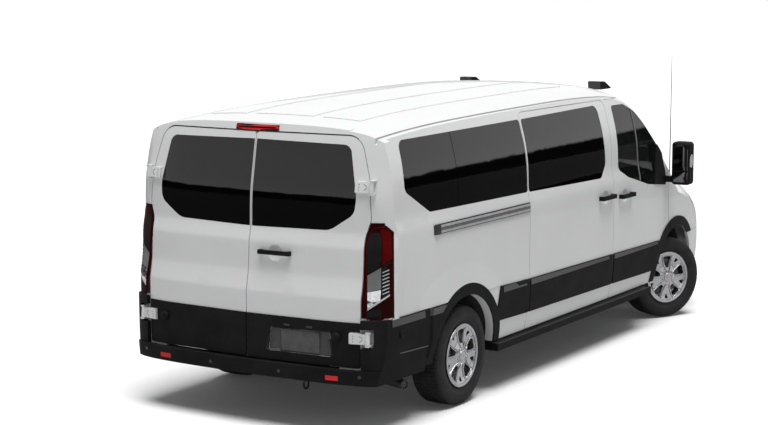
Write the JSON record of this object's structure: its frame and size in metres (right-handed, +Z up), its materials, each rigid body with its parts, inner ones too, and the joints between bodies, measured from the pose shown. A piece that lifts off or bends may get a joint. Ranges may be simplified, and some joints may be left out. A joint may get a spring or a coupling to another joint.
{
  "type": "minibus",
  "caption": "Long passenger van with a low roof, sliding side door, twin rear doors, black lower cladding and flared arches, front wheels turned to the right.",
  "frame": {"origin": "on the ground below the centre of the length and width", "axes": "+X towards the front, +Y towards the left-hand side, +Z up"},
  "size_m": [5.969, 2.45, 2.225],
  "materials": {
    "body_paint": "gloss white",
    "black_trim": "grained black plastic",
    "privacy_glass": "dark tinted",
    "clear_glass": "light green tint",
    "lamp_red": "red lens",
    "lamp_clear": "clear lens",
    "underbody": "black wax",
    "cast_iron": "cast",
    "aluminised": "aluminised steel",
    "dash_plastic": "grained dark grey",
    "seat_cloth": "woven charcoal",
    "floor_lining": "ribbed dark lining",
    "tyre": "rubber",
    "plate_grey": "blank dark grey plate",
    "wheel_silver": "silver painted"
  },
  "bodies": {
    "root": {"body_side_right": "body_paint", "body_side_left": "body_paint", "roof_panel": "body_paint", "floor_pan": "floor_lining", "bulkhead": "underbody", "fender_right": "body_paint", "fender_left": "body_paint", "windscreen": "clear_glass", "side_windows": "privacy_glass", "sliding_door": "body_paint", "side_trim": "black_trim", "front_bumper": "body_paint", "grille": "black_trim", "headlamps": "lamp_clear", "rear_bumper": "black_trim", "tail_lamps": "lamp_red", "running_boards": "black_trim", "chassis_frame": "underbody", "driveline": "cast_iron", "front_suspension": "cast_iron", "exhaust": "aluminised", "fuel_tank": "black_trim", "spare_wheel": "tyre", "engine_block": "cast_iron", "dashboard": "dash_plastic", "front_seats": "seat_cloth", "rear_seats": "seat_cloth", "antenna": "black_trim", "roof_pods": "black_trim"},
    "front_door_right": {"front_door_right": "body_paint", "front_window_right": "clear_glass", "front_door_trim_right": "black_trim"},
    "rear_door_right": {"rear_door_right": "body_paint", "rear_window_right": "privacy_glass", "rear_door_trim_right": "black_trim", "number_plate": "plate_grey"},
    "front_door_left": {"front_door_left": "body_paint", "front_window_left": "clear_glass", "front_door_trim_left": "black_trim"},
    "rear_door_left": {"rear_door_left": "body_paint", "rear_window_left": "privacy_glass", "rear_door_trim_left": "black_trim"},
    "hood": {"hood": "body_paint"},
    "knuckle_right": {"knuckle_right": "cast_iron"},
    "knuckle_left": {"knuckle_left": "cast_iron"},
    "wheel_front_right": {"wheel_front_right": "wheel_silver", "tyre_front_right": "tyre"},
    "wheel_front_left": {"wheel_front_left": "wheel_silver", "tyre_front_left": "tyre"},
    "wheel_rear_right": {"wheel_rear_right": "wheel_silver", "tyre_rear_right": "tyre"},
    "wheel_rear_left": {"wheel_rear_left": "wheel_silver", "tyre_rear_left": "tyre"}
  },
  "joints": [
    {"name": "front_door_right_hinge", "type": "hinge", "parent": "root", "child": "front_door_right", "pos_m": [1.86819, -0.97107, 0.975], "axis": [-0.0698, 0, 0.9976], "range_deg": [0, 70]},
    {"name": "front_door_left_hinge", "type": "hinge", "parent": "root", "child": "front_door_left", "pos_m": [1.86819, 0.97107, 0.975], "axis": [0.0698, 0, -0.9976], "range_deg": [0, 70]},
    {"name": "rear_door_right_hinge", "type": "hinge", "parent": "root", "child": "rear_door_right", "pos_m": [-2.885, -0.905, 0.643], "axis": [0.0694, 0.0135, 0.9975], "range_deg": [0, 180]},
    {"name": "rear_door_left_hinge", "type": "hinge", "parent": "root", "child": "rear_door_left", "pos_m": [-2.885, 0.905, 0.643], "axis": [-0.0694, 0.0135, -0.9975], "range_deg": [0, 180]},
    {"name": "hood_hinge", "type": "hinge", "parent": "root", "child": "hood", "pos_m": [2.2575, 0, 1.232], "axis": [0, -1, 0], "range_deg": [0, 55]},
    {"name": "steer_right", "type": "hinge", "parent": "root", "child": "knuckle_right", "pos_m": [1.9675, -0.8, 0.348], "axis": [0, 0, 1], "range_deg": [-8.6, 63.4]},
    {"name": "steer_left", "type": "hinge", "parent": "root", "child": "knuckle_left", "pos_m": [1.9675, 0.8, 0.348], "axis": [0, 0, 1], "range_deg": [-8.6, 63.4]},
    {"name": "wheel_spin_front_right", "type": "hinge", "parent": "knuckle_right", "child": "wheel_front_right", "pos_m": [1.93713, -0.8586, 0.348], "axis": [0.4602, 0.8878, 0], "continuous": true},
    {"name": "wheel_spin_front_left", "type": "hinge", "parent": "knuckle_left", "child": "wheel_front_left", "pos_m": [1.99787, 0.8586, 0.348], "axis": [0.4602, 0.8878, 0], "continuous": true},
    {"name": "wheel_spin_rear_right", "type": "hinge", "parent": "root", "child": "wheel_rear_right", "pos_m": [-1.7825, -0.8715, 0.348], "axis": [0, 1, 0], "continuous": true},
    {"name": "wheel_spin_rear_left", "type": "hinge", "parent": "root", "child": "wheel_rear_left", "pos_m": [-1.7825, 0.8715, 0.348], "axis": [0, 1, 0], "continuous": true}
  ],
  "couplings": [
    {"joint": "steer_right", "follows": "steer_left", "ratio": 1}
  ]
}
